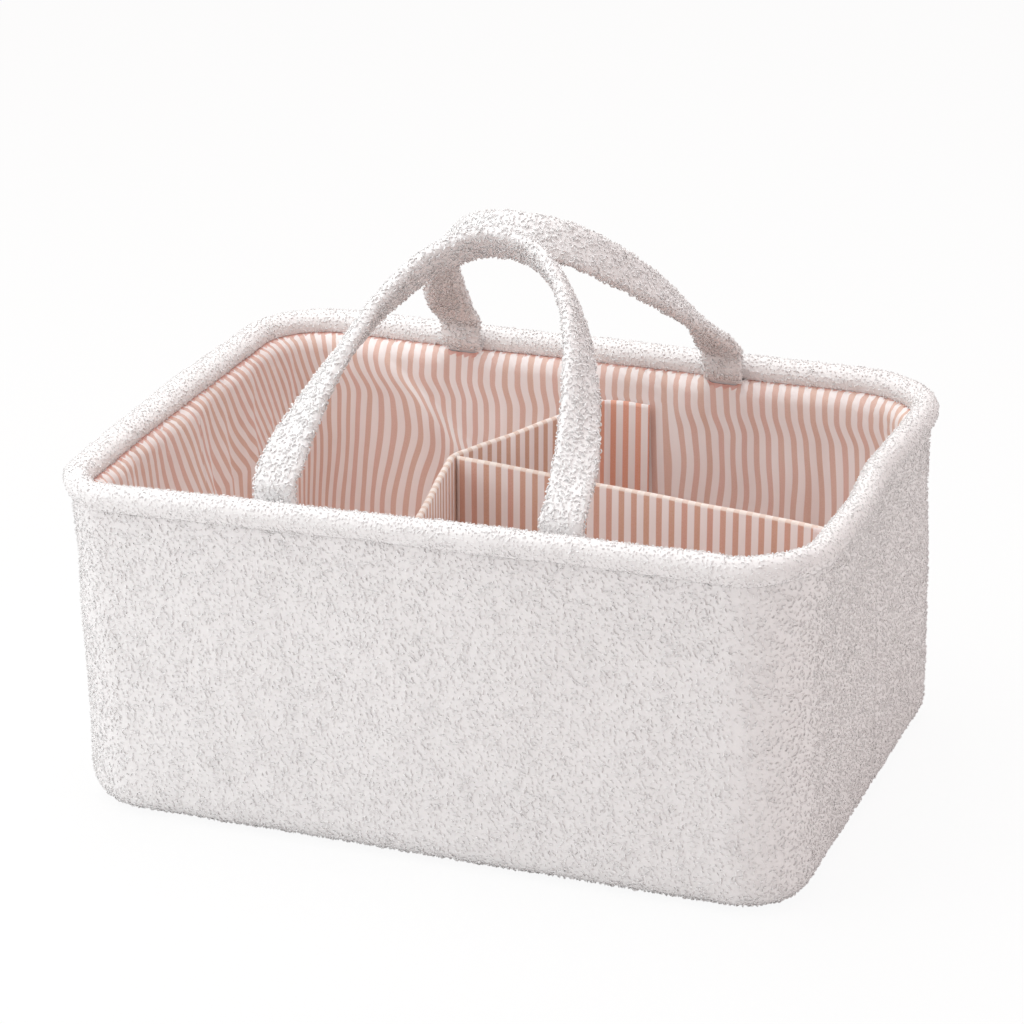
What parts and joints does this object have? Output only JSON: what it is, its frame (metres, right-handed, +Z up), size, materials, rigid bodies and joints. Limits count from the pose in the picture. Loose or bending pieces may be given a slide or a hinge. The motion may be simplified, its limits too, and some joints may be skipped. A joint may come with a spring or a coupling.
{
  "type": "diaper caddy",
  "caption": "Soft open caddy with a padded rim, striped lining, folding strap handles and a lift-out T-shaped divider.",
  "frame": {"origin": "middle of the underside, on the surface that the caddy stands on", "axes": "+X along the length to the right seen from the front, the front faces -Y, +Z up"},
  "size_m": [0.404, 0.3, 0.2961],
  "materials": {
    "terry": "curly looped terry, matt",
    "striped_cotton": "plain woven cotton with narrow stripes, matt",
    "padding": "soft wadding",
    "board": "grey-brown stiffening board",
    "hook_tape": "woven hook tape",
    "loop_tape": "napped loop tape"
  },
  "bodies": {
    "basket": {"outer_front_panel": "terry", "outer_back_panel": "terry", "outer_base_panel": "terry", "front_wall_board": "board", "right_wall_board": "board", "back_wall_board": "board", "left_wall_board": "board", "base_board": "board", "rim_roll": "terry", "rim_core": "padding", "lining_front_panel": "striped_cotton", "lining_back_panel": "striped_cotton", "lining_floor": "striped_cotton", "front_handle_left_tab": "terry", "front_handle_right_tab": "terry", "back_handle_left_tab": "terry", "back_handle_right_tab": "terry", "rear_loop_patch": "loop_tape", "front_loop_patch": "loop_tape", "stem_loop_patch": "loop_tape"},
    "front_handle": {"front_handle_cover": "terry", "front_handle_core": "padding"},
    "back_handle": {"back_handle_cover": "terry", "back_handle_core": "padding"},
    "divider": {"divider_cross_cover": "striped_cotton", "divider_rear_board": "board", "divider_front_board": "board"},
    "divider_stem": {"divider_stem_cover": "striped_cotton", "divider_stem_board": "board"},
    "rear_flap": {"divider_rear_flap": "striped_cotton", "rear_hook_patch": "hook_tape"},
    "front_flap": {"divider_front_flap": "striped_cotton", "front_hook_patch": "hook_tape"},
    "stem_flap": {"divider_stem_flap": "striped_cotton", "stem_hook_patch": "hook_tape"}
  },
  "joints": [
    {"name": "front_handle_fold", "type": "hinge", "parent": "basket", "child": "front_handle", "pos_m": [-0.004, -0.1292, 0.1908], "axis": [1, 0, 0], "range_deg": [0, 138]},
    {"name": "back_handle_fold", "type": "hinge", "parent": "basket", "child": "back_handle", "pos_m": [-0.004, 0.1292, 0.1908], "axis": [-1, 0, 0], "range_deg": [0, 138]},
    {"name": "divider_lift", "type": "slide", "parent": "basket", "child": "divider", "axis": [0, 0, 1], "range_m": [0, 0.1]},
    {"name": "divider_stem_swing", "type": "hinge", "parent": "divider", "child": "divider_stem", "pos_m": [-0.03937, 0.01955, 0.0814], "axis": [0, 0, -1], "range_deg": [0, 25]},
    {"name": "rear_flap_peel", "type": "hinge", "parent": "divider", "child": "rear_flap", "pos_m": [0.00588, 0.12745, 0.083], "axis": [0, 0, -1], "range_deg": [0, 95]},
    {"name": "front_flap_peel", "type": "hinge", "parent": "divider", "child": "front_flap", "pos_m": [-0.01633, -0.12745, 0.083], "axis": [0, 0, 1], "range_deg": [0, 85]},
    {"name": "stem_flap_peel", "type": "hinge", "parent": "divider_stem", "child": "stem_flap", "pos_m": [0.17945, -0.01043, 0.083], "axis": [0, 0, 1], "range_deg": [0, 70]}
  ]
}
